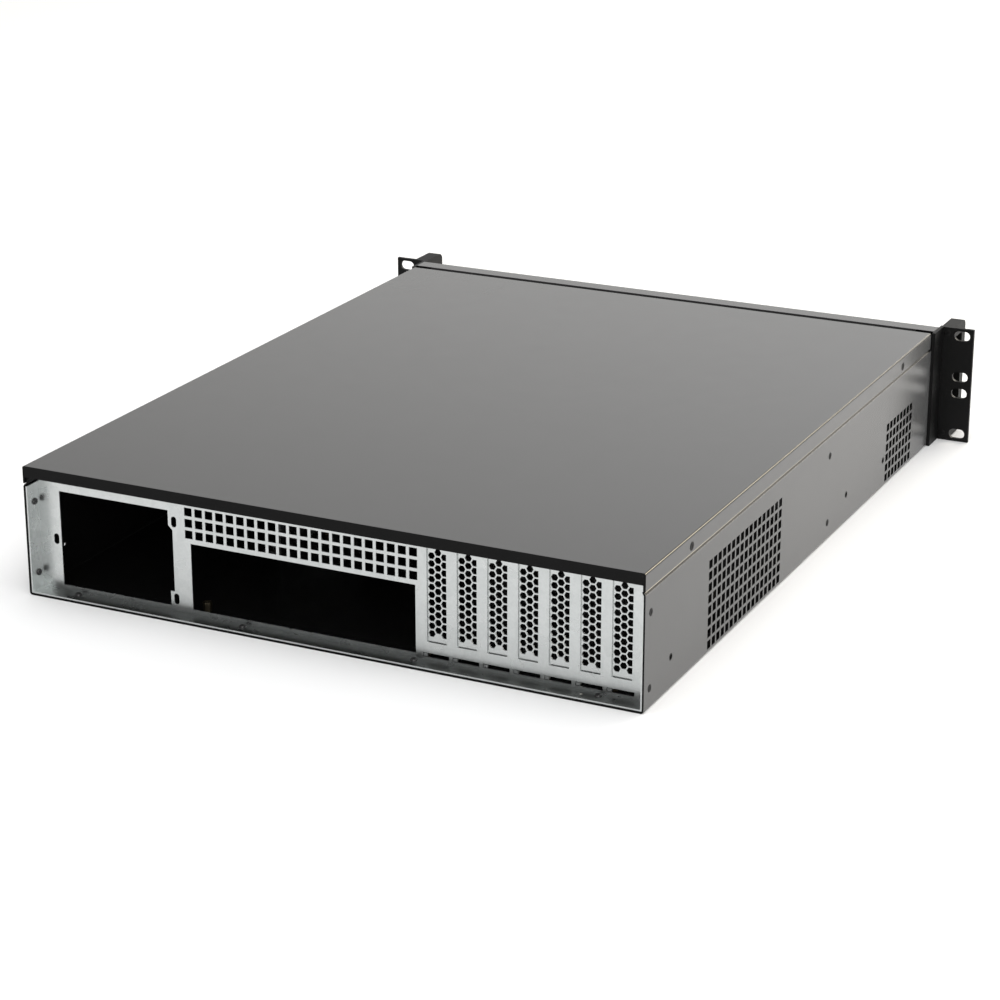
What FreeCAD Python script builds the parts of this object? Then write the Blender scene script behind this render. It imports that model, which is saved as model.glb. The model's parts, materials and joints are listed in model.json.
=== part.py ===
"""A 2U rack server case, empty: folded steel base, lid, front panel, recessed rear panel with
seven slot covers, rack ears with handles, fan wall and two push-buttons.

X runs across the case, +Y to the rear and +Z up. The sub-parts are drawn with y = 0 on the rear
face of the rack ears and z = 0 on the underside, and are then moved along Y by one value, so
that the origin ends at the middle of the case's underside.
"""
import FreeCAD, Part
import math
import os
from types import SimpleNamespace

import Sketcher

SIZES = [
    # The case as a whole
    ("case_height", 88.1),
    ("case_depth", 560.0),
    ("rack_width", 482.6),
    ("ear_overhang", 26.0),
    ("gauge", 1.2),
    ("bend_radius", 2.0),
    ("fit_gap", 0.1),
    ("side_gap", 0.15),
    # Lid
    ("lid_gauge", 1.0),
    ("lid_front", 22.0),
    ("lid_flange", 11.8),
    ("lid_lip", 7.7),
    ("lid_bend", 1.5),
    # Base
    ("shoulder_drop", 13.8),
    ("shoulder_rise", 1.7),
    ("top_return", 10.0),
    ("lip_room", 0.5),
    # Square vents
    ("vent_hole", 5.5),
    ("vent_pitch", 7.55),
    ("vent_height", 5.6),
    ("rear_vent_margin", 102.0),
    ("rear_vent_columns", 17),
    ("rear_vent_rows", 8),
    ("front_vent_place", 116.0),
    ("front_vent_columns", 8),
    ("front_vent_rows", 6),
    # Rail holes in the side walls
    ("rail_hole_radius", 1.5),
    ("rail_hole_height", 21.0),
    ("rail_hole_front", 124.5),
    ("rail_hole_middle", 204.3),
    ("rail_rear_margin", 40.4),
    # Rear panel
    ("panel_gauge", 1.0),
    ("panel_recess", 12.2),
    ("panel_inset", 0.4),
    ("shelf_drop", 6.1),
    ("shelf_depth", 10.0),
    ("psu_margin", 18.6),
    ("psu_gap", 16.1),
    ("psu_bottom", 5.8),
    ("psu_drop", 12.1),
    ("psu_relief", 3.0),
    ("psu_relief_rise", 9.8),
    ("psu_relief_drop", 11.4),
    ("psu_slot_width", 3.8),
    ("psu_slot_length", 7.2),
    ("psu_slot_outer_step", 3.8),
    ("psu_slot_inner_step", 4.2),
    ("psu_slot_rise", 4.9),
    ("psu_slot_drop", 7.2),
    ("grid_step", 1.1),
    ("grid_rise", 5.95),
    ("grid_columns", 22),
    ("grid_rows", 3),
    ("io_step", 14.35),
    ("io_width", 158.75),
    ("io_bottom", 5.5),
    ("io_height", 44.45),
    ("slot_margin", 19.28),
    ("slot_pitch", 20.32),
    ("slot_count", 7),
    ("slot_width", 13.3),
    ("slot_bottom", 14.1),
    ("slot_drop", 2.0),
    ("slit_bottom", 4.2),
    ("slit_height", 2.7),
    ("slit_left", 9.6),
    ("slit_right", 8.2),
    # Slot covers
    ("cover_gauge", 1.0),
    ("cover_width", 18.4),
    ("cover_bottom", 7.8),
    ("cover_tab", 9.5),
    ("tongue_width", 2.8),
    ("tongue_height", 1.8),
    ("dot_flat", 4.1),
    ("dot_pitch", 5.05),
    ("dot_column", 4.3),
    ("dot_shift", 0.6),
    ("dot_height", 19.7),
    ("dot_rows", 11),
    ("cover_screw_flat", 5.8),
    ("cover_screw_height", 1.8),
    ("cover_screw_step", 5.2),
    # Screws that hold the rear panel
    ("panel_screw_step", 4.2),
    ("panel_screw_rise", 13.2),
    ("panel_screw_drop", 12.5),
    ("panel_screw_inner", 60.5),
    ("panel_screw_margin", 32.3),
    ("panel_screw_flat", 5.0),
    ("panel_screw_head", 1.4),
    # Front panel
    ("face_setback", 3.4),
    ("face_gauge", 1.0),
    ("face_bottom", 0.4),
    ("strip_flat", 16.0),
    ("strip_step", 4.0),
    ("strip_drop", 1.25),
    ("strip_tongue", 30.0),
    ("strip_margin", 13.3),
    ("foot_flange", 13.0),
    ("intake_width", 24.0),
    ("intake_height", 52.0),
    ("intake_bottom", 18.0),
    ("intake_pitch", 34.0),
    ("intake_columns", 9),
    ("intake_margin", 93.3),
    # Push-buttons and lamps on the front panel
    ("control_margin", 25.3),
    ("power_height", 60.0),
    ("reset_height", 44.0),
    ("power_width", 10.0),
    ("reset_width", 5.0),
    ("button_gap", 0.3),
    ("button_proud", 2.2),
    ("button_flange", 1.6),
    ("button_flange_gauge", 1.2),
    ("button_stem", 3.0),
    ("button_stem_length", 4.0),
    ("button_travel", 1.2),
    ("lamp_width", 3.0),
    ("lamp_high", 33.0),
    ("lamp_low", 26.0),
    ("lamp_proud", 0.8),
    ("lamp_gap", 0.05),
    ("board_gauge", 1.6),
    ("board_half_width", 9.0),
    ("board_bottom", 16.0),
    ("board_top", 76.0),
    ("switch_size", 6.0),
    ("switch_depth", 3.6),
    ("post_flat", 5.0),
    ("post_margin", 4.0),
    # Ears and handles
    ("ear_gauge", 2.5),
    ("ear_leg", 20.0),
    ("ear_gap", 0.2),
    ("rack_hole_edge", 8.75),
    ("rack_hole_end", 5.95),
    ("rack_hole_inner", 6.35),
    ("rack_hole_width", 7.4),
    ("rack_hole_length", 12.0),
    ("handle_step", 5.7),
    ("handle_width", 10.0),
    ("handle_reach", 30.0),
    ("handle_thickness", 8.0),
    ("handle_bottom", 1.4),
    ("handle_drop", 0.5),
    ("handle_bend", 5.0),
    # Fan wall
    ("fan_wall_place", 235.0),
    ("fan_wall_gap", 0.5),
    ("fan_wall_drop", 4.1),
    ("fan_flange", 14.0),
    ("fan_count", 4),
    ("fan_margin", 24.1),
    ("fan_corner", 9.0),
    ("fan_frame", 2.5),
    ("fan_bottom", 5.5),
    # Power-supply bracket
    ("supply_step", 10.5),
    ("supply_rear_margin", 130.0),
    ("supply_length", 110.0),
    ("supply_height", 34.0),
    ("supply_foot", 14.0),
    # Stand-offs for the main board
    ("board_step", 2.6),
    ("board_edge", 6.35),
    ("column_inner", 157.48),
    ("column_outer", 124.46),
    ("row_rear", 10.16),
    ("row_middle", 154.94),
    ("row_front", 72.39),
    ("standoff_flat", 5.0),
    ("standoff_height", 6.5),
    ("standoff_bore", 1.5),
    ("standoff_depth", 5.0),
]

doc = FreeCAD.newDocument("server_case")
sheet = doc.addObject("Spreadsheet::Sheet", "sizes")
for row, (alias, value) in enumerate(SIZES, start=1):
    sheet.set(f"A{row}", alias)
    sheet.set(f"B{row}", str(value))
    sheet.setAlias(f"B{row}", alias)
doc.recompute()


class Size:
    """A number together with the sheet formula that gives it."""

    def __init__(self, value, text):
        self.value = value
        self.text = text

    def __add__(self, other):
        other = as_size(other)
        return Size(self.value + other.value, f"({self.text} + {other.text})")

    def __sub__(self, other):
        other = as_size(other)
        return Size(self.value - other.value, f"({self.text} - {other.text})")

    def __mul__(self, factor):
        factor = as_size(factor)
        return Size(self.value * factor.value, f"({self.text} * {factor.text})")

    def __truediv__(self, factor):
        factor = as_size(factor)
        return Size(self.value / factor.value, f"({self.text} / {factor.text})")

    def __neg__(self):
        return Size(-self.value, f"(0 - {self.text})")


def as_size(number):
    return number if isinstance(number, Size) else Size(number, repr(number))


ZERO = as_size(0)
d = SimpleNamespace(**{alias: Size(value, f"sizes.{alias}") for alias, value in SIZES})

PLANES = {"XY": "XY_Plane", "XZ": "XZ_Plane", "YZ": "YZ_Plane"}
AXES = {"X": "X_Axis", "Y": "Y_Axis", "Z": "Z_Axis"}
sub_parts = []
plane_of = {}


def bind(item, name, size):
    """Tie a property to its formula in the sheet."""
    item.setExpression(name, as_size(size).text)


def new_body(label):
    """An empty sub-part, moved so that the case's middle comes to the origin."""
    body = doc.addObject("PartDesign::Body", label)
    body.Label = label
    bind(body, "Placement.Base.y", (d.handle_reach - d.case_depth) / 2)
    sub_parts.append(body)
    return body


def origin_item(body, role):
    for item in body.Origin.OriginFeatures:
        if item.Role == role:
            return item
    raise ValueError(role)


def new_sketch(body, plane, place=ZERO):
    """A sketch on a plane that crosses the plane's own axis at the given place."""
    sketch = body.newObject("Sketcher::SketchObject", f"{body.Label}_sketch")
    sketch.AttachmentSupport = [(origin_item(body, PLANES[plane]), "")]
    sketch.MapMode = "FlatFace"
    bind(sketch, "AttachmentOffset.Base.z", -place if plane == "XZ" else place)
    plane_of[sketch.Name] = plane
    return sketch


def constrain(sketch, size, *terms):
    """Add one dimension, tied to the sheet."""
    size = as_size(size)
    index = sketch.addConstraint(Sketcher.Constraint(*terms, size.value))
    sketch.setExpression(f"Constraints[{index}]", size.text)


def pin_point(sketch, element, point, x, y):
    constrain(sketch, x, "DistanceX", -1, 1, element, point)
    constrain(sketch, y, "DistanceY", -1, 1, element, point)


def outline(sketch, corners):
    """Draw a closed outline through corners (x, y) or, rounded, (x, y, radius).

    The lines beside a rounded corner run along the sketch's axes.
    """
    spots = [FreeCAD.Vector(as_size(c[0]).value, as_size(c[1]).value, 0) for c in corners]
    count = len(corners)
    entry = list(spots)
    leave = list(spots)
    arcs = {}
    for i, corner in enumerate(corners):
        if len(corner) < 3:
            continue
        radius = corner[2].value
        back = (spots[i - 1] - spots[i]).normalize() * radius
        ahead = (spots[(i + 1) % count] - spots[i]).normalize() * radius
        entry[i] = spots[i] + back
        leave[i] = spots[i] + ahead
        centre = spots[i] + back + ahead
        left_turn = back.cross(ahead).z < 0
        first, last = (entry[i], leave[i]) if left_turn else (leave[i], entry[i])
        start = math.atan2(first.y - centre.y, first.x - centre.x)
        end = math.atan2(last.y - centre.y, last.x - centre.x)
        if end < start:
            end += 2 * math.pi
        circle = Part.Circle(centre, FreeCAD.Vector(0, 0, 1), radius)
        arc = sketch.addGeometry(Part.ArcOfCircle(circle, start, end))
        constrain(sketch, corner[2], "Radius", arc)
        arcs[i] = (arc, 1, 2) if left_turn else (arc, 2, 1)
    lines = []
    for i in range(count):
        line = Part.LineSegment(leave[i], entry[(i + 1) % count])
        lines.append(sketch.addGeometry(line))
    for i, corner in enumerate(corners):
        if i in arcs:
            arc, arc_in, arc_out = arcs[i]
            sketch.addConstraint(Sketcher.Constraint("Tangent", lines[i - 1], 2, arc, arc_in))
            sketch.addConstraint(Sketcher.Constraint("Tangent", arc, arc_out, lines[i], 1))
        else:
            sketch.addConstraint(Sketcher.Constraint("Coincident", lines[i - 1], 2, lines[i], 1))
            pin_point(sketch, lines[i], 1, corner[0], corner[1])
    for i in range(count):
        following = (i + 1) % count
        if i not in arcs and following not in arcs:
            continue
        level = abs(spots[i].y - spots[following].y) < 1e-6
        kind = "Horizontal" if level else "Vertical"
        sketch.addConstraint(Sketcher.Constraint(kind, lines[i]))
        if i in arcs and following in arcs:
            if level:
                constrain(sketch, corners[i][1], "DistanceY", -1, 1, lines[i], 1)
            else:
                constrain(sketch, corners[i][0], "DistanceX", -1, 1, lines[i], 1)


def rectangle(sketch, left, right, bottom, top):
    outline(sketch, [(left, bottom), (right, bottom), (right, top), (left, top)])


def square(sketch, x, y, width):
    half = width / 2
    rectangle(sketch, x - half, x + half, y - half, y + half)


def circle(sketch, x, y, radius):
    centre = FreeCAD.Vector(as_size(x).value, as_size(y).value, 0)
    ring = sketch.addGeometry(Part.Circle(centre, FreeCAD.Vector(0, 0, 1), radius.value))
    pin_point(sketch, ring, 3, x, y)
    constrain(sketch, radius, "Radius", ring)


def oblong(sketch, x, y, length, width, upright=False):
    """A slot with round ends, centred on (x, y)."""
    radius = width / 2
    reach = (length - width) / 2
    ends = []
    for side in (-1, 1):
        centre_x = x if upright else x + reach * side
        centre_y = y + reach * side if upright else y
        centre = FreeCAD.Vector(as_size(centre_x).value, as_size(centre_y).value, 0)
        ring = Part.Circle(centre, FreeCAD.Vector(0, 0, 1), radius.value)
        start = (math.pi if upright else math.pi / 2) + (0 if side < 0 else math.pi)
        arc = sketch.addGeometry(Part.ArcOfCircle(ring, start, start + math.pi))
        pin_point(sketch, arc, 3, centre_x, centre_y)
        constrain(sketch, radius, "Radius", arc)
        ends.append(arc)
    for first, second in ((0, 1), (1, 0)):
        start = sketch.getPoint(ends[first], 2)
        end = sketch.getPoint(ends[second], 1)
        line = sketch.addGeometry(Part.LineSegment(start, end))
        sketch.addConstraint(Sketcher.Constraint("Tangent", ends[first], 2, line, 1))
        sketch.addConstraint(Sketcher.Constraint("Tangent", line, 2, ends[second], 1))


def hexagon(sketch, x, y, flat, level=False):
    """A hexagon, given by the distance across its flats, two of them upright or level."""
    half = flat / 2
    point = flat / math.sqrt(3)
    if level:
        outline(sketch, [(x + point, y), (x + point / 2, y + half), (x - point / 2, y + half),
                         (x - point, y), (x - point / 2, y - half), (x + point / 2, y - half)])
    else:
        outline(sketch, [(x + half, y - point / 2), (x + half, y + point / 2), (x, y + point),
                         (x - half, y + point / 2), (x - half, y - point / 2), (x, y - point)])


def pad(body, sketch, length, ahead=True):
    """Thicken a sketch along its plane's own axis, or the other way."""
    feature = body.newObject("PartDesign::Pad", f"{body.Label}_pad")
    feature.Profile = sketch
    bind(feature, "Length", length)
    feature.Reversed = ahead == (plane_of[sketch.Name] == "XZ")
    return feature


def centred_pad(body, sketch, length):
    feature = body.newObject("PartDesign::Pad", f"{body.Label}_pad")
    feature.Profile = sketch
    feature.SideType = "Symmetric"
    bind(feature, "Length", length)
    return feature


def cut(body, sketch, length):
    """Cut a sketch through the sub-part, half of the length to each side of its plane."""
    feature = body.newObject("PartDesign::Pocket", f"{body.Label}_cut")
    feature.Profile = sketch
    feature.SideType = "Symmetric"
    bind(feature, "Length", length)
    return feature


def repeat(body, feature, ways):
    """Repeat a cut or pad; each way is (axis, forwards, spacing, count)."""
    grid = body.newObject("PartDesign::MultiTransform", f"{body.Label}_grid")
    grid.Originals = [feature]
    rows = []
    for axis, forwards, spacing, count in ways:
        row = doc.addObject("PartDesign::LinearPattern", f"{body.Label}_row")
        row.Direction = (origin_item(body, AXES[axis]), [""])
        row.Reversed = not forwards
        row.Mode = "Spacing"
        bind(row, "Offset", spacing)
        bind(row, "Occurrences", count)
        rows.append(row)
    grid.Transformations = rows
    body.Tip = grid


# Places that several sub-parts share
half_width = d.rack_width / 2 - d.ear_overhang
wall_inside = half_width - d.gauge
joggle = d.lid_gauge + d.side_gap
neck = half_width - joggle
shoulder_height = d.case_height - d.shoulder_drop
shoulder_top = shoulder_height + d.shoulder_rise
base_top = d.case_height - d.lid_gauge - d.fit_gap
base_front = d.face_setback + d.face_gauge + d.fit_gap
panel_rear = d.case_depth - d.panel_recess
panel_front = panel_rear - d.panel_gauge
panel_half = wall_inside - d.fit_gap
panel_floor = d.gauge + d.fit_gap
cover_rear = panel_front - d.fit_gap
cover_front = cover_rear - d.cover_gauge
panel_shelf = d.case_height - d.shelf_drop
tab_bottom = panel_shelf + d.panel_gauge + d.fit_gap
tab_top = tab_bottom + d.cover_gauge
ear_side = half_width + d.ear_gauge
through = half_width * 2 + d.ear_gauge * 4
thin_cut = d.gauge * 4
slot_place = d.slot_margin - half_width + d.slot_pitch * (d.slot_count - 1)
slots = [slot_place - d.slot_pitch * index for index in range(d.slot_count.value)]
io_outer = slot_place + d.io_step + d.io_width
psu_inner = io_outer + d.psu_gap
control_place = d.control_margin - half_width


def square_vent(body, side, place, columns, rows):
    """A field of square holes in one side wall, counted forwards and up from its rear corner."""
    sketch = new_sketch(body, "YZ", (half_width - d.gauge / 2) * side)
    square(sketch, place, d.vent_height, d.vent_hole)
    hole = cut(body, sketch, thin_cut)
    repeat(body, hole, [("Y", False, d.vent_pitch, columns), ("Z", True, d.vent_pitch, rows)])


def build_base():
    """Floor and side walls, one folded sheet, with a joggle that the lid's flanges sit in."""
    body = new_body("chassis_base")
    right = [
        (half_width, ZERO, d.bend_radius),
        (half_width, shoulder_height),
        (neck, shoulder_top),
        (neck, base_top, d.bend_radius),
        (neck - d.top_return, base_top),
        (neck - d.top_return, base_top - d.gauge),
        (neck - d.gauge, base_top - d.gauge, d.bend_radius - d.gauge),
        (neck - d.gauge, shoulder_top),
        (wall_inside, shoulder_height),
        (wall_inside, d.gauge, d.bend_radius - d.gauge),
    ]
    left = [(-corner[0],) + corner[1:] for corner in reversed(right)]
    profile = new_sketch(body, "XZ", base_front)
    outline(profile, right + left)
    pad(body, profile, d.case_depth - base_front)
    room = new_sketch(body, "YZ")
    lip_front = d.case_depth - d.lid_gauge - d.lip_room
    rectangle(room, lip_front, d.case_depth + d.gauge, shoulder_top, d.case_height)
    cut(body, room, through)
    holes = new_sketch(body, "YZ")
    for place in (d.rail_hole_front, d.rail_hole_middle, d.case_depth - d.rail_rear_margin):
        circle(holes, place, d.rail_hole_height, d.rail_hole_radius)
    cut(body, holes, through)
    rear_vent_place = d.case_depth - d.rear_vent_margin
    square_vent(body, -1, rear_vent_place, d.rear_vent_columns, d.rear_vent_rows)
    square_vent(body, -1, d.front_vent_place, d.front_vent_columns, d.front_vent_rows)


def build_lid():
    """Top cover: a sheet with two side flanges and a lip over the recessed rear panel."""
    body = new_body("top_cover")
    inside = half_width - d.lid_gauge
    under = d.case_height - d.lid_gauge
    flange_end = d.case_height - d.lid_flange
    inner_bend = d.lid_bend - d.lid_gauge
    profile = new_sketch(body, "XZ", d.lid_front)
    outline(profile, [
        (half_width, flange_end),
        (half_width, d.case_height, d.lid_bend),
        (-half_width, d.case_height, d.lid_bend),
        (-half_width, flange_end),
        (-inside, flange_end),
        (-inside, under, inner_bend),
        (inside, under, inner_bend),
        (inside, flange_end),
    ])
    pad(body, profile, d.case_depth - d.lid_front)
    lip = new_sketch(body, "XZ", d.case_depth)
    lip_end = inside - d.side_gap
    rectangle(lip, -lip_end, lip_end, d.case_height - d.lid_lip, under)
    pad(body, lip, d.lid_gauge, ahead=False)


def build_rear_panel():
    """Galvanised rear panel: a shallow tray, open to the rear, with all the rear cut-outs."""
    body = new_body("rear_panel")
    flange_length = d.panel_recess - d.panel_inset + d.panel_gauge
    inner = panel_half - d.panel_gauge
    tray_floor = panel_floor + d.panel_gauge
    tray_bend = d.bend_radius - d.gauge + d.fit_gap
    side_top = shoulder_height - d.fit_gap
    shelf_half = neck - d.gauge - d.fit_gap
    shelf_top = panel_shelf + d.panel_gauge
    plate = new_sketch(body, "XZ", panel_front)
    outline(plate, [(-panel_half, panel_floor, tray_bend), (panel_half, panel_floor, tray_bend),
                    (panel_half, side_top),
                    (shelf_half, side_top), (shelf_half, shelf_top), (-shelf_half, shelf_top),
                    (-shelf_half, side_top), (-panel_half, side_top)])
    pad(body, plate, d.panel_gauge)
    sides = new_sketch(body, "XZ", panel_front)
    outline(sides, [(-panel_half, panel_floor, tray_bend), (panel_half, panel_floor, tray_bend),
                    (panel_half, side_top), (inner, side_top), (inner, tray_floor),
                    (-inner, tray_floor), (-inner, side_top), (-panel_half, side_top)])
    pad(body, sides, flange_length)
    shelf = new_sketch(body, "XZ", panel_front)
    rectangle(shelf, -shelf_half, shelf_half, panel_shelf, shelf_top)
    pad(body, shelf, d.shelf_depth)
    cut_depth = d.panel_gauge * 2.5
    middle = panel_front + d.panel_gauge / 2
    windows = new_sketch(body, "XZ", middle)
    psu_outer = half_width - d.psu_margin
    psu_top = panel_shelf - d.psu_drop
    relief = psu_inner - d.psu_relief
    relief_bottom = d.psu_bottom + d.psu_relief_rise
    relief_top = psu_top - d.psu_relief_drop
    outline(windows, [
        (psu_outer, d.psu_bottom), (psu_outer, psu_top),
        (psu_inner, psu_top), (psu_inner, relief_top + d.psu_relief / 2),
        (relief, relief_top - d.psu_relief / 2), (relief, relief_bottom),
        (psu_inner, relief_bottom), (psu_inner, d.psu_bottom),
    ])
    rectangle(windows, io_outer - d.io_width, io_outer, d.io_bottom, d.io_bottom + d.io_height)
    slot_inner = psu_inner - d.psu_slot_inner_step
    slot_low = d.psu_bottom + d.psu_slot_rise
    slot_high = psu_top - d.psu_slot_drop
    for across, height in ((psu_outer + d.psu_slot_outer_step, (slot_low + slot_high) / 2),
                           (slot_inner, slot_low), (slot_inner, slot_high)):
        oblong(windows, across, height, d.psu_slot_length, d.psu_slot_width, upright=True)
    for centre in slots:
        rectangle(windows, centre - d.slot_width / 2, centre + d.slot_width / 2,
                  d.slot_bottom, panel_shelf - d.slot_drop)
        rectangle(windows, centre - d.slit_right, centre + d.slit_left,
                  d.slit_bottom, d.slit_bottom + d.slit_height)
    cut(body, windows, cut_depth)
    grid = new_sketch(body, "XZ", middle)
    square(grid, io_outer + d.grid_step, d.io_bottom + d.io_height + d.grid_rise, d.vent_hole)
    hole = cut(body, grid, cut_depth)
    repeat(body, hole, [("X", False, d.vent_pitch, d.grid_columns),
                        ("Z", True, d.vent_pitch, d.grid_rows)])


def build_slot_cover(number, centre):
    """A blanking cover: honeycomb strip, tab folded over the panel's shelf, tongue at its foot."""
    body = new_body(f"slot_cover_{number}")
    half = d.cover_width / 2
    profile = new_sketch(body, "YZ", centre)
    outline(profile, [(cover_front, d.cover_bottom), (cover_rear, d.cover_bottom),
                      (cover_rear, tab_bottom), (cover_front + d.cover_tab, tab_bottom),
                      (cover_front + d.cover_tab, tab_top), (cover_front, tab_top)])
    centred_pad(body, profile, d.cover_width)
    tongue = new_sketch(body, "YZ", centre + half)
    tongue_bottom = d.slit_bottom + d.fit_gap * 4
    outline(tongue, [(cover_front, tongue_bottom), (panel_rear, tongue_bottom),
                     (panel_rear, tongue_bottom + d.tongue_height),
                     (cover_rear, tongue_bottom + d.tongue_height),
                     (cover_rear, d.cover_bottom), (cover_front, d.cover_bottom)])
    pad(body, tongue, d.tongue_width, ahead=False)
    dots = new_sketch(body, "XZ", cover_front)
    middle = centre - d.dot_shift
    for across, height in ((-1, d.dot_height), (0, d.dot_height + d.dot_pitch / 2), (1, d.dot_height)):
        hexagon(dots, middle + d.dot_column * across, height, d.dot_flat, level=True)
    row_of_dots = cut(body, dots, d.cover_gauge * 3)
    repeat(body, row_of_dots, [("Z", True, d.dot_pitch, d.dot_rows)])


def build_cover_screws():
    """A hexagon screw head on each cover's tab."""
    body = new_body("slot_cover_screws")
    heads = new_sketch(body, "XY", tab_top)
    for centre in slots:
        hexagon(heads, centre, panel_rear + d.cover_screw_step, d.cover_screw_flat)
    pad(body, heads, d.cover_screw_height)


def build_panel_screws():
    """Screw heads inside the rear panel's tray, on its side and bottom flanges."""
    body = new_body("rear_panel_screws")
    place = panel_rear + d.panel_screw_step
    outer = half_width - d.panel_screw_margin
    inner = d.panel_screw_inner
    for side in (-1, 1):
        heads = new_sketch(body, "YZ", (panel_half - d.panel_gauge) * side)
        for height in (d.panel_screw_rise, shoulder_height - d.panel_screw_drop):
            hexagon(heads, place, height, d.panel_screw_flat)
        pad(body, heads, d.panel_screw_head, ahead=side < 0)
    heads = new_sketch(body, "XY", panel_floor + d.panel_gauge)
    for across in (-outer, -inner, inner, outer):
        hexagon(heads, across, place, d.panel_screw_flat)
    pad(body, heads, d.panel_screw_head)


def build_front_panel():
    """Front panel: face, top strip that steps down under the lid, and a flange on the floor."""
    body = new_body("front_panel")
    back = d.face_setback + d.face_gauge
    strip_under = d.case_height - d.face_gauge
    step_end = d.strip_flat + d.strip_step
    tongue_top = d.case_height - d.strip_drop
    strip = new_sketch(body, "YZ")
    flange_top = panel_floor + d.face_gauge
    outline(strip, [
        (d.face_setback, d.face_bottom), (back, d.face_bottom),
        (back, panel_floor), (d.foot_flange, panel_floor), (d.foot_flange, flange_top),
        (back, flange_top), (back, strip_under), (d.strip_flat, strip_under),
        (step_end, tongue_top - d.face_gauge), (d.strip_tongue, tongue_top - d.face_gauge),
        (d.strip_tongue, tongue_top), (step_end, tongue_top), (d.strip_flat, d.case_height),
        (d.face_setback, d.case_height),
    ])
    centred_pad(body, strip, (half_width - d.strip_margin) * 2)
    ends = new_sketch(body, "YZ")
    outline(ends, [(d.face_setback, d.face_bottom), (back, d.face_bottom), (back, strip_under),
                   (d.strip_flat, strip_under), (d.strip_flat, d.case_height),
                   (d.face_setback, d.case_height)])
    centred_pad(body, ends, half_width * 2)
    holes = new_sketch(body, "XZ", back)
    gap = d.button_gap
    square(holes, control_place, d.power_height, d.power_width + gap * 2)
    square(holes, control_place, d.reset_height, d.reset_width + gap * 2)
    square(holes, control_place, d.lamp_high, d.lamp_width + d.lamp_gap * 2)
    square(holes, control_place, d.lamp_low, d.lamp_width + d.lamp_gap * 2)
    cut(body, holes, d.face_gauge * 3)
    intake = new_sketch(body, "XZ", back)
    half = d.intake_width / 2
    first = d.intake_margin - half_width
    rectangle(intake, first - half, first + half, d.intake_bottom, d.intake_bottom + d.intake_height)
    slit = cut(body, intake, d.face_gauge * 3)
    repeat(body, slit, [("X", True, d.intake_pitch, d.intake_columns)])


def build_button(label, height, width):
    """A push-button: cap through the front panel, flange behind it and a stem to its switch."""
    body = new_body(label)
    flange_face = d.face_setback + d.face_gauge + d.button_gap
    cap = new_sketch(body, "XZ", flange_face)
    square(cap, control_place, height, width)
    pad(body, cap, d.face_gauge + d.button_gap + d.button_proud, ahead=False)
    flange = new_sketch(body, "XZ", flange_face)
    square(flange, control_place, height, width + d.button_flange * 2)
    pad(body, flange, d.button_flange_gauge)
    stem = new_sketch(body, "XZ", flange_face + d.button_flange_gauge)
    square(stem, control_place, height, d.button_stem)
    pad(body, stem, d.button_stem_length)


stem_end = (d.face_setback + d.face_gauge + d.button_gap + d.button_flange_gauge
            + d.button_stem_length)
switch_face = stem_end + d.button_travel + d.button_gap
board_face = switch_face + d.switch_depth


def build_control_board():
    """The small circuit board behind the buttons, with its two switches."""
    body = new_body("control_board")
    plate = new_sketch(body, "XZ", board_face)
    rectangle(plate, control_place - d.board_half_width, control_place + d.board_half_width,
              d.board_bottom, d.board_top)
    pad(body, plate, d.board_gauge)
    switches = new_sketch(body, "XZ", board_face)
    for height in (d.power_height, d.reset_height):
        square(switches, control_place, height, d.switch_size)
    pad(body, switches, d.switch_depth, ahead=False)


def build_board_posts():
    """Four posts that carry the control board on the back of the front panel."""
    body = new_body("control_board_posts")
    posts = new_sketch(body, "XZ", d.face_setback + d.face_gauge)
    reach = d.board_half_width - d.post_flat / 2
    for across in (-1, 1):
        for height in (d.board_bottom + d.post_margin, d.board_top - d.post_margin):
            hexagon(posts, control_place + reach * across, height, d.post_flat)
    pad(body, posts, board_face - d.face_setback - d.face_gauge)


def build_lamp(label, height):
    """A square lamp pressed into the front panel, its tail on the control board."""
    body = new_body(label)
    lens = new_sketch(body, "XZ", d.face_setback - d.lamp_proud)
    square(lens, control_place, height, d.lamp_width)
    pad(body, lens, board_face - d.face_setback + d.lamp_proud)


def build_ear(label, side):
    """A rack ear folded from plate: a leg on the side wall and a face with four rack slots."""
    body = new_body(label)
    reach = d.rack_width / 2
    bottom = d.ear_gap
    profile = new_sketch(body, "XY", bottom)
    corners = [
        (half_width, d.ear_leg), (half_width, -d.ear_gauge), (reach, -d.ear_gauge),
        (reach, ZERO), (ear_side, ZERO), (ear_side, d.ear_leg),
    ]
    outline(profile, [(corner[0] * side, corner[1]) for corner in corners])
    pad(body, profile, d.case_height - bottom * 2)
    slots_sketch = new_sketch(body, "XZ", -d.ear_gauge / 2)
    middle = d.case_height / 2
    outer = middle - d.rack_hole_end
    offsets = (-outer, -d.rack_hole_inner, d.rack_hole_inner, outer)
    for offset in offsets:
        oblong(slots_sketch, (reach - d.rack_hole_edge) * side, middle + offset,
               d.rack_hole_length, d.rack_hole_width)
    cut(body, slots_sketch, d.ear_gauge * 2)


def build_handle(label, side):
    """A U-shaped handle on the ear's face."""
    body = new_body(label)
    foot = -d.ear_gauge
    grip = -d.handle_reach
    inner_bend = d.handle_bend / 2
    top = d.case_height - d.handle_drop
    profile = new_sketch(body, "YZ", (half_width + d.handle_step) * side)
    outline(profile, [
        (foot, d.handle_bottom), (foot, d.handle_bottom + d.handle_thickness),
        (grip + d.handle_thickness, d.handle_bottom + d.handle_thickness, inner_bend),
        (grip + d.handle_thickness, top - d.handle_thickness, inner_bend),
        (foot, top - d.handle_thickness), (foot, top),
        (grip, top, d.handle_bend), (grip, d.handle_bottom, d.handle_bend),
    ])
    centred_pad(body, profile, d.handle_width)


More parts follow.
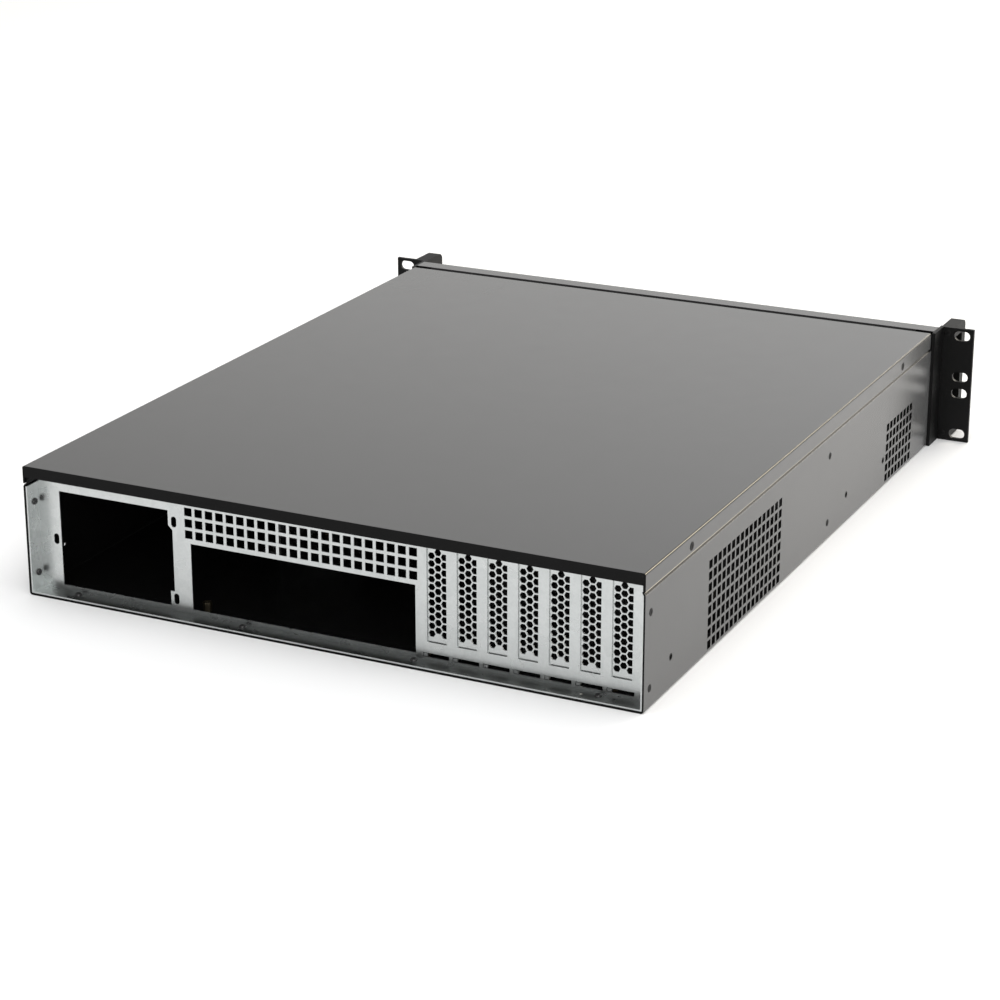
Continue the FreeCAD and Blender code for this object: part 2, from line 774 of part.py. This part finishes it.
def build_fan_wall():
    """The wall across the case that carries four fans, folded back at both ends."""
    body = new_body("fan_wall")
    half = wall_inside - d.fan_wall_gap
    floor = panel_floor
    wall_rear = d.fan_wall_place
    wall_front = wall_rear - d.gauge
    flange_rear = wall_rear + d.fan_flange
    profile = new_sketch(body, "XY", floor)
    outline(profile, [
        (-half, wall_front), (half, wall_front), (half, flange_rear),
        (half - d.gauge, flange_rear), (half - d.gauge, wall_rear),
        (-half + d.gauge, wall_rear), (-half + d.gauge, flange_rear), (-half, flange_rear),
    ])
    pad(body, profile, shoulder_height - floor - d.fit_gap)
    crown = new_sketch(body, "XZ", wall_front)
    crown_half = neck - d.top_return - d.gauge
    crown_top = d.case_height - d.fan_wall_drop
    rectangle(crown, -crown_half, crown_half, shoulder_height - d.gauge, crown_top)
    pad(body, crown, d.gauge)
    openings = new_sketch(body, "XZ", wall_front + d.gauge / 2)
    bottom = d.fan_bottom
    top = crown_top - d.fan_frame
    opening = top - bottom
    pitch = ((half - d.fan_margin) * 2 - opening) / (d.fan_count - 1)
    nip = d.fan_corner
    for index in range(d.fan_count.value):
        left = pitch * index - half + d.fan_margin
        right = left + opening
        outline(openings, [
            (left + nip, bottom), (right - nip, bottom), (right, bottom + nip),
            (right, top - nip), (right - nip, top), (left + nip, top),
            (left, top - nip), (left, bottom + nip),
        ])
    cut(body, openings, d.gauge * 3)


def build_supply_bracket():
    """The low wall on the floor that keeps the power supply in its bay."""
    body = new_body("power_supply_bracket")
    profile = new_sketch(body, "XZ", d.case_depth - d.supply_rear_margin)
    bay_side = psu_inner - d.supply_step
    board_side = bay_side - d.gauge
    foot_end = board_side + d.supply_foot
    outline(profile, [
        (board_side, panel_floor), (board_side, d.supply_height),
        (bay_side, d.supply_height), (bay_side, panel_floor + d.gauge),
        (foot_end, panel_floor + d.gauge), (foot_end, panel_floor),
    ])
    pad(body, profile, d.supply_length, ahead=False)


def build_standoffs():
    """Nine hexagonal stand-offs on the floor, on the hole pattern of a full-size main board."""
    body = new_body("standoffs")
    posts = new_sketch(body, "XY", d.gauge)
    bores = new_sketch(body, "XY", d.gauge + d.standoff_height)
    column_right = io_outer + d.board_step - d.board_edge
    column_middle = column_right - d.column_inner
    column_left = column_middle - d.column_outer
    row_rear = panel_front - d.row_rear
    row_middle = row_rear - d.row_middle
    row_front = row_middle - d.row_front
    for x in (column_left, column_middle, column_right):
        for y in (row_front, row_middle, row_rear):
            hexagon(posts, x, y, d.standoff_flat)
            circle(bores, x, y, d.standoff_bore)
    pad(body, posts, d.standoff_height)
    cut(body, bores, d.standoff_depth * 2)


build_base()
build_lid()
build_front_panel()
build_rear_panel()
build_panel_screws()
for number, centre in enumerate(slots, start=1):
    build_slot_cover(number, centre)
build_cover_screws()
build_ear("ear_left", 1)
build_ear("ear_right", -1)
build_handle("handle_left", 1)
build_handle("handle_right", -1)
build_button("power_button", d.power_height, d.power_width)
build_button("reset_button", d.reset_height, d.reset_width)
build_lamp("power_lamp", d.lamp_high)
build_lamp("disk_lamp", d.lamp_low)
build_control_board()
build_board_posts()
build_fan_wall()
build_supply_bracket()
build_standoffs()

doc.recompute()
for item in doc.Objects:
    if "Invalid" in item.State or "Error" in item.State:
        raise RuntimeError(f"{item.Label} could not be built")
for part in sub_parts:
    if part.Shape.isNull() or not part.Shape.isValid():
        raise RuntimeError(f"{part.Label} is not a valid solid")

os.makedirs("parts", exist_ok=True)
for part in sub_parts:
    part.Shape.exportStep(f"parts/{part.Label}.step")
    print(part.Label, len(part.Shape.Solids), round(part.Shape.Volume, 1))
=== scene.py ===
"""Looks for the empty 2U rack server case: paint, galvanised sheet, small screws and a studio."""
import json
import math

import bmesh
import bpy
from mathutils import Matrix, Vector


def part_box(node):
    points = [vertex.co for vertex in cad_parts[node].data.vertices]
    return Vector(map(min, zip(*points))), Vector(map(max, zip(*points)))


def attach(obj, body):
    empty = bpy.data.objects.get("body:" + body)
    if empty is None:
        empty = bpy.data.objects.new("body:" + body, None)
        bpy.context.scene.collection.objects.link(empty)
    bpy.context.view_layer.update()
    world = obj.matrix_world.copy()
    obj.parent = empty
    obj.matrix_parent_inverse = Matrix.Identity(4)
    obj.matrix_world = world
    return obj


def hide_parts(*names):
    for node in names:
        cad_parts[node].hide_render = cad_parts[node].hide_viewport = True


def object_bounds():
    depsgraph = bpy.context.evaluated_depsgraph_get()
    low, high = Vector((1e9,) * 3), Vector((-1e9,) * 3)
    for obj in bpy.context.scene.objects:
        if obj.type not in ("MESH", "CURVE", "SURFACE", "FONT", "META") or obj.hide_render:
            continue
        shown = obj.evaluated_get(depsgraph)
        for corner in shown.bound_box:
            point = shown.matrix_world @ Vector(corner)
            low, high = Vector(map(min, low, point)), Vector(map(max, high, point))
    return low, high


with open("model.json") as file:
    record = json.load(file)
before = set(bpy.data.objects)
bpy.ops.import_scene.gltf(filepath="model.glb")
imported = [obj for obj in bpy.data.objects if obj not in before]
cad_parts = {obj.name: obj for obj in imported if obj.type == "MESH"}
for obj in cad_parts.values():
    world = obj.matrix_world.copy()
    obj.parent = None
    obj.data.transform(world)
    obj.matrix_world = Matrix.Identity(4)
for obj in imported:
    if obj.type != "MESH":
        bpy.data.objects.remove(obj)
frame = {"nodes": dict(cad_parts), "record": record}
nodes = frame["nodes"]
cad_low, cad_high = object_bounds()
MM = 0.001
SIDES = (-1, 1)

# Places of the screws and rail holes, in millimetres. Heights are from the case's underside. A
# setback is from the rear end of the sheet that the screw or hole is in.
LID_SCREW_SETBACKS = (70.0, 472.0)
LID_SCREW_HEIGHT = 81.0
WALL_SCREW_HEIGHTS = (12.8, 60.8)
FAN_WALL_SCREW_INSET = 7.0
REAR_SCREW_SETBACK = 8.5
REAR_SCREW_RISE = 0.5
EAR_GAUGE = 2.5
EAR_SCREW_HEIGHTS = (14.0, 44.0, 74.0)
EAR_SCREW_INSET = 8.0
HANDLE_SCREW_INSET = 4.0
TRAY_SCREW_SETBACK = 7.6
TRAY_FOOT_SCREWS = (60.5, 183.0)
TRAY_SIDE_HEIGHTS = (13.2, 61.8)
PANEL_GAUGE = 1.0
RAIL_HOLE_SETBACKS = (40.4, 355.7, 435.5)
RAIL_HOLE_HEIGHT = 21.0

# Round edges
CIRCLE_SIDES = 24
HEAD_PROFILE = ((1.0, 0.0), (1.0, 0.35), (0.86, 0.8), (0.62, 1.0))  # shares of radius and height
RIM_PROFILE = ((2.3, 0.0), (2.2, 0.12), (1.5, 0.12), (1.5, 0.0))  # radius and rise, in millimetres


# ---------------------------------------------------------------- node helpers

def new_material(name):
    """A material with its Principled shader; returns (material, nodes, links, shader)."""
    material = bpy.data.materials.new(name)
    material.use_nodes = True
    tree = material.node_tree
    return material, tree.nodes, tree.links, tree.nodes["Principled BSDF"]


def object_coordinates(tree_nodes):
    return tree_nodes.new("ShaderNodeTexCoord").outputs["Object"]


def noise(tree_nodes, links, coordinates, scale, detail):
    texture = tree_nodes.new("ShaderNodeTexNoise")
    texture.inputs["Scale"].default_value = scale
    texture.inputs["Detail"].default_value = detail
    links.new(coordinates, texture.inputs["Vector"])
    return texture.outputs["Fac"]


def spread(tree_nodes, links, source, low, high, start=0.3, end=0.7):
    """Map a value from start to end, by default a texture's middle range, to low to high."""
    node = tree_nodes.new("ShaderNodeMapRange")
    node.inputs["From Min"].default_value = start
    node.inputs["From Max"].default_value = end
    node.inputs["To Min"].default_value = low
    node.inputs["To Max"].default_value = high
    links.new(source, node.inputs["Value"])
    return node.outputs["Result"]


def blend_colours(tree_nodes, links, factor, first, second):
    """Go from the first colour, a triple or another node's output, to the second, a triple."""
    mix = tree_nodes.new("ShaderNodeMix")
    mix.data_type = "RGBA"
    if isinstance(first, tuple):
        mix.inputs["A"].default_value = (*first, 1)
    else:
        links.new(first, mix.inputs["A"])
    mix.inputs["B"].default_value = (*second, 1)
    links.new(factor, mix.inputs["Factor"])
    return mix.outputs["Result"]


def bump(tree_nodes, links, shader, height, strength, distance):
    node = tree_nodes.new("ShaderNodeBump")
    node.inputs["Strength"].default_value = strength
    node.inputs["Distance"].default_value = distance
    links.new(height, node.inputs["Height"])
    links.new(node.outputs["Normal"], shader.inputs["Normal"])


def compare(tree_nodes, links, source, operation, limit):
    """1 where a value lies above (GREATER_THAN) or below (LESS_THAN) a limit, otherwise 0."""
    node = tree_nodes.new("ShaderNodeMath")
    node.operation = operation
    links.new(source, node.inputs[0])
    node.inputs[1].default_value = limit
    return node.outputs["Value"]


def combine(tree_nodes, links, operation, first, second):
    node = tree_nodes.new("ShaderNodeMath")
    node.operation = operation
    links.new(first, node.inputs[0])
    links.new(second, node.inputs[1])
    return node.outputs["Value"]


# ---------------------------------------------------------------- materials

PAINT_DARK = (0.004, 0.004, 0.004)
PAINT_LIGHT = (0.006, 0.006, 0.006)
# Cream of a painted highlight along the lid's bends and flange ends.
PAINTED_HIGHLIGHT_CREAM = (0.46, 0.40, 0.29)
cover_low, cover_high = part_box("top_cover")
half_case = cover_high.x
lid_top = cover_high.z
flange_end = cover_low.z


def split_place(tree_nodes, links, place):
    """A place's distance from the middle plane, its Y and its height."""
    axes = tree_nodes.new("ShaderNodeSeparateXYZ")
    links.new(place, axes.inputs["Vector"])
    across = tree_nodes.new("ShaderNodeMath")
    across.operation = "ABSOLUTE"
    links.new(axes.outputs["X"], across.inputs[0])
    return across.outputs["Value"], axes.outputs["Y"], axes.outputs["Z"]


def outer_faces(tree_nodes, links, place):
    """1 on the outsides of the lid and the side walls, 0 inside the case and on its rear lip, which
    are left in painted shade.
    """
    skin = 0.1 * MM
    across, _, height = split_place(tree_nodes, links, place)
    on_wall = compare(tree_nodes, links, across, "GREATER_THAN", half_case - skin)
    on_top = compare(tree_nodes, links, height, "GREATER_THAN", lid_top - skin)
    return combine(tree_nodes, links, "MAXIMUM", on_wall, on_top)


def painted_edge_highlights(tree_nodes, links, place):
    """Mask of a painted highlight on the lid's side bends and its flanges' ends, strong at the rear
    and fading forwards.
    """
    bend_width = 0.6 * MM
    end_skin = 0.2 * MM
    end_low, end_high = flange_end - 0.05 * MM, flange_end + 0.55 * MM
    fade_front, fade_rear, strongest = -0.2, 0.3, 0.9
    across, along, height = split_place(tree_nodes, links, place)
    bend = combine(tree_nodes, links, "MULTIPLY",
                   compare(tree_nodes, links, across, "GREATER_THAN", half_case - bend_width),
                   compare(tree_nodes, links, height, "GREATER_THAN", lid_top - bend_width))
    band = combine(tree_nodes, links, "MULTIPLY",
                   compare(tree_nodes, links, height, "GREATER_THAN", end_low),
                   compare(tree_nodes, links, height, "LESS_THAN", end_high))
    end = combine(tree_nodes, links, "MULTIPLY", band,
                  compare(tree_nodes, links, across, "GREATER_THAN", half_case - end_skin))
    both = combine(tree_nodes, links, "MAXIMUM", bend, end)
    fade = spread(tree_nodes, links, along, 0.0, strongest, start=fade_front, end=fade_rear)
    return combine(tree_nodes, links, "MULTIPLY", both, fade)


def black_paint(name, roughness, reflection, painted_highlights_and_shade=False):
    """Satin black powder coat: a fine grain, faint cloudiness and slightly uneven gloss.

    When asked, the outer faces get more gloss and a sheen that the inside and the rear lip lack
    (painted shade), and the lid's bends and flange ends get a painted cream highlight.
    """
    material, tree_nodes, links, shader = new_material(name)
    place = object_coordinates(tree_nodes)
    clouds = noise(tree_nodes, links, place, scale=60.0, detail=4.0)
    grain = noise(tree_nodes, links, place, scale=1400.0, detail=2.0)
    colour = blend_colours(tree_nodes, links, clouds, PAINT_DARK, PAINT_LIGHT)
    shader.inputs["Specular IOR Level"].default_value = reflection
    if painted_highlights_and_shade:
        # Painted highlight: the lid's bends and flange ends turn cream, fading towards the front.
        edges = painted_edge_highlights(tree_nodes, links, place)
        colour = blend_colours(tree_nodes, links, edges, colour, PAINTED_HIGHLIGHT_CREAM)
        # Painted shade: sheen and extra specular only on the outer faces keep the case's inside and
        # its rear lip darker.
        outside = outer_faces(tree_nodes, links, place)
        outer_sheen = spread(tree_nodes, links, outside, 0.0, 0.45, start=0.0, end=1.0)
        shine = spread(tree_nodes, links, outside, reflection, 0.6, start=0.0, end=1.0)
        links.new(outer_sheen, shader.inputs["Sheen Weight"])
        links.new(shine, shader.inputs["Specular IOR Level"])
        shader.inputs["Sheen Roughness"].default_value = 0.3
    links.new(colour, shader.inputs["Base Color"])
    gloss = spread(tree_nodes, links, clouds, roughness - 0.01, roughness + 0.01)
    links.new(gloss, shader.inputs["Roughness"])
    bump(tree_nodes, links, shader, grain, strength=0.02, distance=0.01 * MM)
    return material


def galvanised(name, dark, light):
    """Zinc-coated sheet: pale grey with a faint spangle and fine rolling grain."""
    material, tree_nodes, links, shader = new_material(name)
    place = object_coordinates(tree_nodes)
    cells = tree_nodes.new("ShaderNodeTexVoronoi")
    cells.inputs["Scale"].default_value = 160.0
    links.new(place, cells.inputs["Vector"])
    tone = tree_nodes.new("ShaderNodeSeparateColor")
    links.new(cells.outputs["Color"], tone.inputs["Color"])
    fine = noise(tree_nodes, links, place, scale=900.0, detail=3.0)
    mixed = tree_nodes.new("ShaderNodeMath")
    mixed.operation = "MULTIPLY_ADD"
    mixed.inputs[1].default_value = 0.4
    links.new(tone.outputs["Red"], mixed.inputs[0])
    links.new(spread(tree_nodes, links, fine, 0.0, 0.4), mixed.inputs[2])
    colour = blend_colours(tree_nodes, links, mixed.outputs["Value"], dark, light)
    links.new(colour, shader.inputs["Base Color"])
    shader.inputs["Metallic"].default_value = 1.0
    rough = spread(tree_nodes, links, tone.outputs["Green"], 0.27, 0.30, start=0.0, end=1.0)
    links.new(rough, shader.inputs["Roughness"])
    bump(tree_nodes, links, shader, fine, strength=0.03, distance=0.01 * MM)
    return material


def plain_finish(name, dark, light, roughness, metallic=0.0, reflection=0.5):
    """A small part's finish: two close tones, a fine grain and an even gloss."""
    material, tree_nodes, links, shader = new_material(name)
    place = object_coordinates(tree_nodes)
    speckle = noise(tree_nodes, links, place, scale=300.0, detail=3.0)
    links.new(blend_colours(tree_nodes, links, speckle, dark, light), shader.inputs["Base Color"])
    links.new(spread(tree_nodes, links, speckle, roughness - 0.05, roughness + 0.05),
              shader.inputs["Roughness"])
    shader.inputs["Metallic"].default_value = metallic
    shader.inputs["Specular IOR Level"].default_value = reflection
    bump(tree_nodes, links, shader, speckle, strength=0.1, distance=0.03 * MM)
    return material


finishes = {
    # The case paint carries the painted edge highlight and the painted shade inside the case.
    "black_steel": black_paint("case_paint", 0.26, 0.08, painted_highlights_and_shade=True),
    "black_plate": black_paint("ear_paint", 0.5, 0.15),
    "galvanised_steel": galvanised("zinc_sheet", (0.52, 0.54, 0.535), (0.62, 0.635, 0.63)),
    "black_fastener": plain_finish("black_screw", (0.006, 0.006, 0.006), (0.012, 0.012, 0.012), 0.55,
                                   reflection=0.2),
    "tray_fastener": plain_finish("tray_screw", (0.02, 0.02, 0.02), (0.03, 0.03, 0.03), 0.3),
    "bright_fastener": plain_finish("zinc_screw", (0.45, 0.45, 0.43), (0.6, 0.6, 0.57), 0.3, 1.0),
    # Painted shade: the standoffs' brass is far darker than brass, so they stay dim inside the case.
    "brass": plain_finish("brass_painted_dim", (0.14, 0.12, 0.08), (0.20, 0.17, 0.12), 0.4, 1.0),
    "button_plastic": plain_finish("button_black", (0.012, 0.012, 0.013), (0.022, 0.022, 0.024), 0.5),
    "lamp_green": plain_finish("lamp_clear_green", (0.10, 0.42, 0.14), (0.16, 0.5, 0.2), 0.15),
    "lamp_amber": plain_finish("lamp_clear_amber", (0.62, 0.30, 0.05), (0.7, 0.38, 0.08), 0.15),
    "circuit_board": plain_finish("board_green", (0.01, 0.08, 0.035), (0.02, 0.12, 0.05), 0.35),
}
slot_of = {item["node"]: item["material_slot"] for item in frame["record"]["subparts"]}
for name, cad_object in nodes.items():
    cad_object.data.materials.clear()
    cad_object.data.materials.append(finishes[slot_of[name]])


# ---------------------------------------------------------------- screws

rear = cover_high.y


def circle(radius):
    """Corners of a round edge about the origin, as pairs."""
    angles = [2 * math.pi * step / CIRCLE_SIDES for step in range(CIRCLE_SIDES)]
    return [(radius * math.cos(angle), radius * math.sin(angle)) for angle in angles]


def join_rings(mesh, first, second):
    """Close the band between two rings of vertices with four-sided faces."""
    for step in range(len(first)):
        after = (step + 1) % len(first)
        mesh.faces.new((first[step], first[after], second[after], second[step]))


def case_piece(name, mesh, finish):
    """Turn a finished mesh into an object that rides on the case."""
    bmesh.ops.recalc_face_normals(mesh, faces=mesh.faces)
    data = bpy.data.meshes.new(name)
    mesh.to_mesh(data)
    mesh.free()
    data.materials.append(finishes[finish])
    piece = bpy.data.objects.new(name, data)
    bpy.context.scene.collection.objects.link(piece)
    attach(piece, "case")
    return piece


def add_head(mesh, place, outwards, radius, height):
    """Add a low round head with a cross recess, seated at a place and facing outwards."""
    turn = Vector(outwards).to_track_quat("Z", "Y").to_matrix().to_4x4()
    seat = Matrix.Translation(place) @ turn
    rings = [[mesh.verts.new(seat @ Vector((x, y, height * rise))) for x, y in circle(radius * reach)]
             for reach, rise in HEAD_PROFILE]
    for lower, upper in zip(rings, rings[1:]):
        join_rings(mesh, lower, upper)
    narrow, wide = radius * 0.10, radius * 0.45
    cross = [(wide, -narrow), (wide, narrow), (narrow, narrow), (narrow, wide), (-narrow, wide),
             (-narrow, narrow), (-wide, narrow), (-wide, -narrow), (-narrow, -narrow),
             (-narrow, -wide), (narrow, -wide), (narrow, -narrow)]
    rim = [mesh.verts.new(seat @ Vector((x, y, height))) for x, y in cross]
    floor = [mesh.verts.new(seat @ Vector((x, y, height * 0.25))) for x, y in cross]
    loop = []
    for ring in (rings[-1], rim):
        for step, vertex in enumerate(ring):
            other = ring[(step + 1) % len(ring)]
            loop.append(mesh.edges.get((vertex, other)) or mesh.edges.new((vertex, other)))
    bmesh.ops.triangle_fill(mesh, use_beauty=True, edges=loop)
    join_rings(mesh, rim, floor)
    mesh.faces.new(floor)


def screws(name, places, radius, height, finish):
    """One object of like screw heads at (point, outwards) places; their sizes in millimetres."""
    mesh = bmesh.new()
    for point, outwards in places:
        add_head(mesh, Vector(point), outwards, radius * MM, height * MM)
    return case_piece(name, mesh, finish)


def build_lid_screws():
    """Two flush screws in each flange of the lid."""
    places = []
    for side in SIDES:
        for setback in LID_SCREW_SETBACKS:
            point = (side * half_case, rear - setback * MM, LID_SCREW_HEIGHT * MM)
            places.append((point, (side * half_case, 0, 0)))
    screws("lid_screws", places, radius=2.8, height=0.35, finish="black_fastener")


def build_wall_screws():
    """Flush screws that hold the fan wall and the rear panel between the side walls."""
    fan_wall_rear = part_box("fan_wall")[1].y
    places = []
    for side in SIDES:
        outwards = (side * half_case, 0, 0)
        for height in WALL_SCREW_HEIGHTS:
            z = height * MM
            fan_point = (side * half_case, fan_wall_rear - FAN_WALL_SCREW_INSET * MM, z)
            rear_point = (side * half_case, rear - REAR_SCREW_SETBACK * MM, z + REAR_SCREW_RISE * MM)
            places.append((fan_point, outwards))
            places.append((rear_point, outwards))
    screws("wall_screws", places, radius=2.4, height=0.3, finish="black_fastener")


def build_ear_screws():
    """Flush screws in the ears' legs, and behind the ears at the handles' ends."""
    leg_face = half_case + EAR_GAUGE * MM
    leg_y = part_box("ear_left")[1].y - EAR_SCREW_INSET * MM
    handle_low, handle_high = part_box("handle_left")
    handle_middle = (handle_low.x + handle_high.x) / 2
    ear_rear = handle_high.y + EAR_GAUGE * MM
    ear_places = []
    handle_places = []
    for side in SIDES:
        for height in EAR_SCREW_HEIGHTS:
            ear_places.append(((side * leg_face, leg_y, height * MM), (side * half_case, 0, 0)))
        for z in (handle_low.z + HANDLE_SCREW_INSET * MM, handle_high.z - HANDLE_SCREW_INSET * MM):
            handle_places.append(((side * handle_middle, ear_rear, z), (0, 1, 0)))
    screws("ear_screws", ear_places, radius=2.8, height=0.4, finish="black_plate")
    screws("handle_screws", handle_places, radius=2.6, height=0.4, finish="black_plate")


def build_tray_screws():
    """Domed heads on the foot and side flanges of the rear panel's tray."""
    panel_low, panel_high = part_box("rear_panel")
    y = panel_high.y - TRAY_SCREW_SETBACK * MM
    foot_face = panel_low.z + PANEL_GAUGE * MM
    side_face = panel_high.x - PANEL_GAUGE * MM
    places = [((side * x * MM, y, foot_face), (0, 0, 1)) for x in TRAY_FOOT_SCREWS for side in SIDES]
    places += [((side * side_face, y, height * MM), (-side, 0, 0))
               for height in TRAY_SIDE_HEIGHTS for side in SIDES]
    heads = screws("tray_screws", places, radius=2.3, height=1.3, finish="tray_fastener")
    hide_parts("rear_panel_screws")


def build_nut_rims():
    """Flush rims of the threaded holes that take slide rails, low on both side walls."""
    mesh = bmesh.new()
    for side in SIDES:
        for setback in RAIL_HOLE_SETBACKS:
            y, z = rear - setback * MM, RAIL_HOLE_HEIGHT * MM
            rings = [[mesh.verts.new((side * (half_case + rise * MM), y + step_y, z + step_z))
                      for step_y, step_z in circle(radius * MM)]
                     for radius, rise in RIM_PROFILE]
            for inner, outer in zip(rings, rings[1:] + rings[:1]):
                join_rings(mesh, inner, outer)
    case_piece("rail_nut_rims", mesh, "black_fastener")


build_lid_screws()
build_wall_screws()
build_ear_screws()
build_tray_screws()
build_nut_rims()


# ---------------------------------------------------------------- studio

WINDOW_COLOUR = (1.0, 0.93, 0.8)
LIGHT_TARGET = Vector((0, 0, 0.05))


def area_light(name, place, width, height, power, colour=(1.0, 1.0, 1.0)):
    """A rectangular light, never seen itself, that faces the case."""
    data = bpy.data.lights.new(name, "AREA")
    data.color = colour
    data.shape = "RECTANGLE"
    data.size = width
    data.size_y = height
    data.energy = power
    light = bpy.data.objects.new(name, data)
    bpy.context.scene.collection.objects.link(light)
    light.location = place
    direction = LIGHT_TARGET - Vector(place)
    light.rotation_euler = direction.to_track_quat("-Z", "Y").to_euler()
    light.visible_camera = False


def build_floor():
    """A wide pale floor just under the case."""
    reach = 40.0
    level = cad_low.z - 0.1 * MM
    mesh = bpy.data.meshes.new("studio_floor")
    corners = [(-reach, -reach, level), (reach, -reach, level),
               (reach, reach, level), (-reach, reach, level)]
    mesh.from_pydata(corners, [], [(0, 1, 2, 3)])
    floor = bpy.data.objects.new("studio_floor", mesh)
    bpy.context.scene.collection.objects.link(floor)
    material, tree_nodes, links, shader = new_material("floor_white")
    place = object_coordinates(tree_nodes)
    tint = noise(tree_nodes, links, place, scale=3.0, detail=2.0)
    colour = blend_colours(tree_nodes, links, tint, (0.90, 0.90, 0.90), (0.92, 0.92, 0.92))
    links.new(colour, shader.inputs["Base Color"])
    shader.inputs["Roughness"].default_value = 0.9
    shader.inputs["Specular IOR Level"].default_value = 0.1
    mesh.materials.append(material)


def build_world():
    """White where it is seen directly, softer as a light, and a room that gloss shows.

    The room is bright before the case's front on its -X side, and darkens to the rear and +X.
    """
    world = bpy.data.worlds.new("studio_world")
    bpy.context.scene.world = world
    world.use_nodes = True
    tree = world.node_tree
    tree.nodes.clear()
    output = tree.nodes.new("ShaderNodeOutputWorld")
    light_path = tree.nodes.new("ShaderNodeLightPath")
    seen_directly = light_path.outputs["Is Camera Ray"]
    seen_in_gloss = light_path.outputs["Is Glossy Ray"]
    ambient = tree.nodes.new("ShaderNodeBackground")
    ambient.inputs["Color"].default_value = (1.0, 1.0, 1.0, 1)
    ambient.inputs["Strength"].default_value = 0.8
    direction = tree.nodes.new("ShaderNodeSeparateXYZ")
    coordinates = tree.nodes.new("ShaderNodeTexCoord")
    tree.links.new(coordinates.outputs["Generated"], direction.inputs["Vector"])
    room = tree.nodes.new("ShaderNodeBackground")
    sideways_share = 0.6
    bright, dim = 1.15, 0.1
    bright_from, dim_from = -0.75, 0.03
    slope = tree.nodes.new("ShaderNodeMath")
    slope.operation = "MULTIPLY_ADD"
    slope.inputs[1].default_value = sideways_share
    tree.links.new(direction.outputs["X"], slope.inputs[0])
    tree.links.new(direction.outputs["Y"], slope.inputs[2])
    shade = spread(tree.nodes, tree.links, slope.outputs["Value"], bright, dim,
                   start=bright_from, end=dim_from)
    tree.links.new(shade, room.inputs["Color"])
    white = tree.nodes.new("ShaderNodeBackground")
    white.inputs["Color"].default_value = (1.0, 1.0, 1.0, 1)
    by_reflection = tree.nodes.new("ShaderNodeMixShader")
    tree.links.new(seen_in_gloss, by_reflection.inputs["Fac"])
    tree.links.new(ambient.outputs["Background"], by_reflection.inputs[1])
    tree.links.new(room.outputs["Background"], by_reflection.inputs[2])
    mix = tree.nodes.new("ShaderNodeMixShader")
    tree.links.new(seen_directly, mix.inputs["Fac"])
    tree.links.new(by_reflection.outputs["Shader"], mix.inputs[1])
    tree.links.new(white.outputs["Background"], mix.inputs[2])
    tree.links.new(mix.outputs["Shader"], output.inputs["Surface"])


def build_camera():
    """A long lens behind the case's rear corner on its -X side, a little above it."""
    azimuth = math.radians(205.86)
    elevation = math.radians(19.92)
    distance = 1.9158
    aim = Vector((10.8 * MM, 20.0 * MM, 7.5 * MM))
    back = Vector((math.sin(azimuth) * math.cos(elevation), -math.cos(azimuth) * math.cos(elevation),
                   math.sin(elevation)))
    data = bpy.data.cameras.new("camera")
    data.sensor_width = 36.0
    data.lens = 98.48
    data.clip_start = 0.05
    data.clip_end = 100.0
    camera = bpy.data.objects.new("camera", data)
    camera.location = aim + back * distance
    camera.rotation_euler = (math.pi / 2 - elevation, 0, azimuth)
    bpy.context.scene.collection.objects.link(camera)
    bpy.context.scene.camera = camera


build_floor()
build_world()
build_camera()
area_light("window_light", (-1.0, -2.8, 1.1), width=2.0, height=1.2, power=55, colour=WINDOW_COLOUR)
area_light("rear_softbox", (-1.4, 3.0, 1.8), width=2.0, height=1.6, power=35)
area_light("top_softbox", (-0.5, 0.3, 2.6), width=2.4, height=2.4, power=30)
bpy.context.scene.view_settings.view_transform = "Standard"
